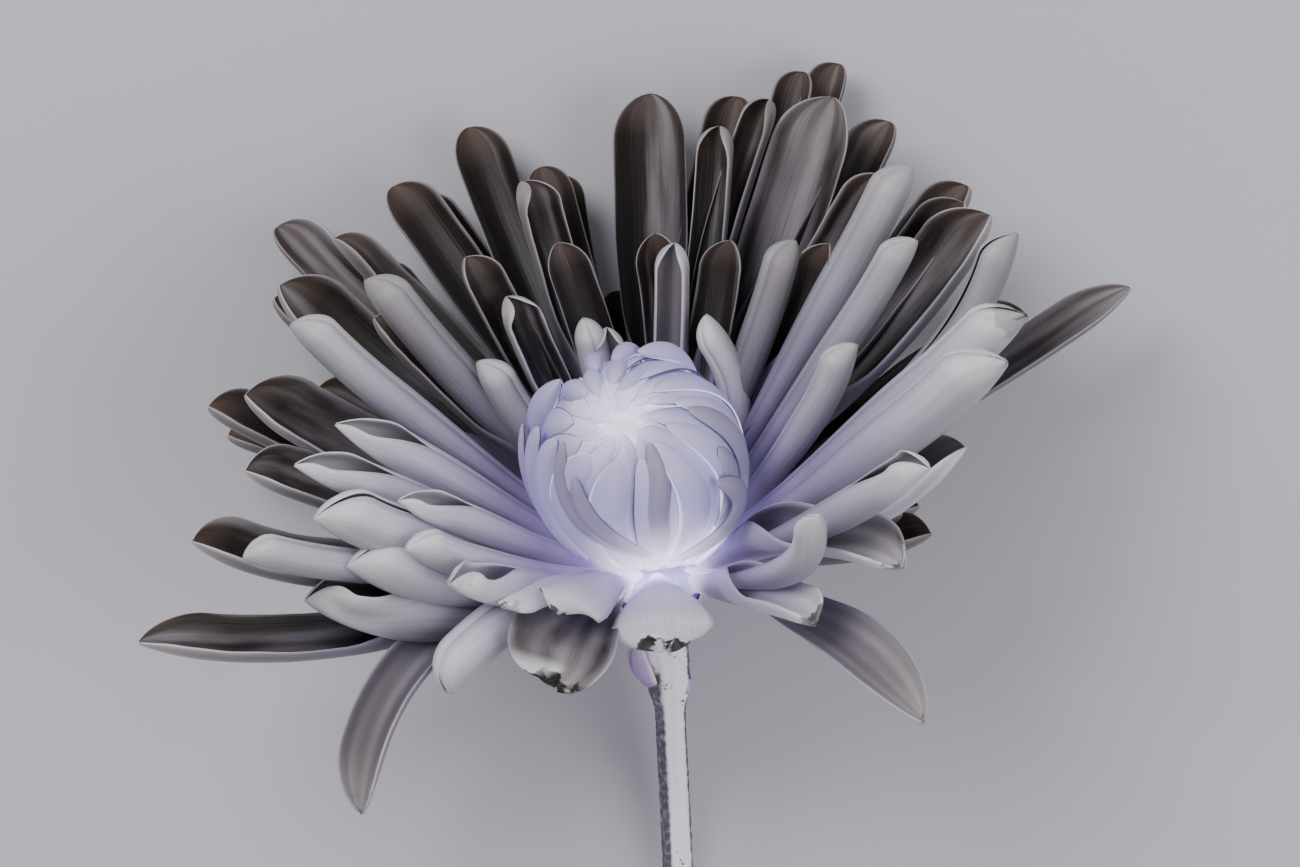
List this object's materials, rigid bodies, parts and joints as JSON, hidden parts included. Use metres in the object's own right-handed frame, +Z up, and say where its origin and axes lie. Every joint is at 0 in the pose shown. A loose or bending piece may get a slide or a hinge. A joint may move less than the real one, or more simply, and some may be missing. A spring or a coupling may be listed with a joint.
{
  "type": "spider chrysanthemum",
  "caption": "Cut spider chrysanthemum: a large bloom of long rolled and spoon-tipped florets round a ball of incurved ones, on a bare ridged stem, lying on a table.",
  "frame": {"origin": "centre of the bounding box at table height, where the flower lies", "axes": "+Z up from the table, +Y the long way of the flower from the cut end of the stem to the bloom, +X to the right of the bloom seen from above"},
  "size_m": [0.153, 0.2419, 0.0727],
  "materials": {
    "stem": "matt, finely ridged and speckled",
    "bracts": "soft matt",
    "open_florets": "soft satin, finely ridged along the floret",
    "centre_florets": "soft satin"
  },
  "bodies": {
    "root": {"stem": "stem", "involucre": "bracts", "ray_florets": "open_florets", "centre_florets": "centre_florets"}
  },
  "joints": []
}
